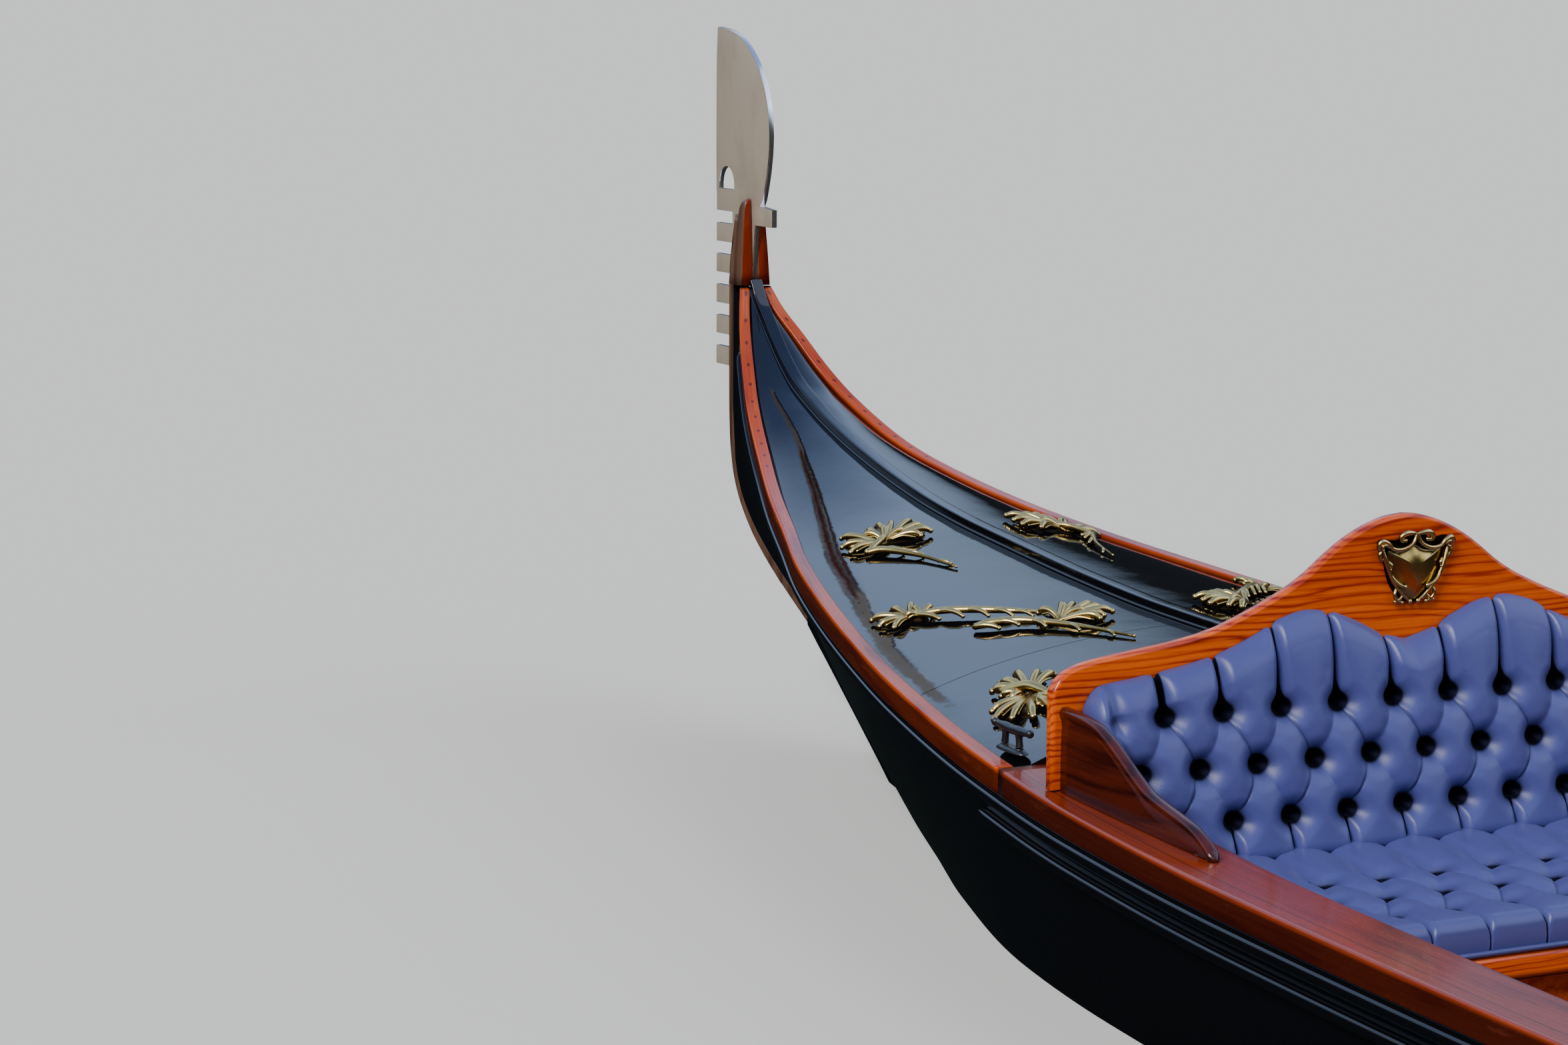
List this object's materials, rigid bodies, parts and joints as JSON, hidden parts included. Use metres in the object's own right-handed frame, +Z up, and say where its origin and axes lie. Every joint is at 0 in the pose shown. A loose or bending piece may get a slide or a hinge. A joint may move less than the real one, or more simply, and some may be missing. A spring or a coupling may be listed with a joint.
{
  "type": "gondola boat",
  "caption": "Long narrow flat-bottomed rowing boat with a toothed steel prow iron, cambered decks, varnished gunwales and two buttoned sofas facing each other, with an oar in its oarlock.",
  "frame": {"origin": "centre of the bounding box in plan, at the underside of the flat bottom", "axes": "+X along the boat towards the prow iron, +Y to port, +Z up"},
  "size_m": [10.884, 1.5224, 1.746],
  "materials": {
    "black_lacquer": "high gloss black lacquer",
    "varnished_wood": "high gloss orange-red varnish",
    "floor_wood": "satin oiled boards",
    "oar_wood": "satin clear varnish",
    "leather": "soft sheen blue-violet",
    "steel": "brushed",
    "brass": "antique",
    "black_iron": "gloss black paint"
  },
  "bodies": {
    "hull": {"bottom_planking": "black_lacquer", "side_planking_port": "black_lacquer", "side_planking_starboard": "black_lacquer", "stem_post": "black_lacquer", "stern_post": "black_lacquer", "prow_iron": "steel", "stem_band": "steel", "stern_band": "steel", "stern_iron": "steel", "stem_cap_port": "varnished_wood", "stem_cap_starboard": "varnished_wood", "fore_rail_port": "varnished_wood", "fore_rail_starboard": "varnished_wood", "side_deck_port": "varnished_wood", "side_deck_starboard": "varnished_wood", "aft_rail_port": "varnished_wood", "aft_rail_starboard": "varnished_wood", "upper_rub_rail_port": "black_lacquer", "upper_rub_rail_starboard": "black_lacquer", "lower_rub_rail_port": "black_lacquer", "lower_rub_rail_starboard": "black_lacquer", "fore_deck": "black_lacquer", "fore_deck_panel": "black_lacquer", "aft_deck": "black_lacquer", "fore_deck_ridge": "black_lacquer", "aft_deck_ridge": "black_lacquer", "floor_boards": "floor_wood", "floor_bearers": "floor_wood", "cockpit_lining_port": "varnished_wood", "cockpit_lining_starboard": "varnished_wood", "front_seat_back_board": "varnished_wood", "front_seat_back_cushion": "leather", "front_seat_cushion": "leather", "front_seat_box": "varnished_wood", "front_seat_trim": "varnished_wood", "front_seat_armrest_port": "varnished_wood", "front_seat_armrest_starboard": "varnished_wood", "rear_seat_back_board": "varnished_wood", "rear_seat_back_cushion": "leather", "rear_seat_cushion": "leather", "rear_seat_box": "varnished_wood", "rear_seat_trim": "varnished_wood", "rear_seat_armrest_port": "varnished_wood", "rear_seat_armrest_starboard": "varnished_wood", "back_board_shield": "brass", "fore_bulkhead": "varnished_wood", "aft_bulkhead": "varnished_wood", "cleat_port": "black_iron", "cleat_starboard": "black_iron", "oarlock_block": "varnished_wood"},
    "oarlock": {"oarlock": "varnished_wood"},
    "oar": {"oar": "oar_wood"},
    "locker_door": {"locker_door": "varnished_wood"}
  },
  "joints": [
    {"name": "oarlock_lift", "type": "slide", "parent": "hull", "child": "oarlock", "axis": [0, 0, 1], "range_m": [0, 0.12]},
    {"name": "oar_swing", "type": "hinge", "parent": "oarlock", "child": "oar", "pos_m": [-1.962, -0.6615, 0.8936], "axis": [0, 0, 1], "range_deg": [0, 25]},
    {"name": "locker_door_hinge", "type": "hinge", "parent": "hull", "child": "locker_door", "pos_m": [-1.435, 0.19125, 0.255], "axis": [0, 0, 1], "range_deg": [0, 95]}
  ]
}
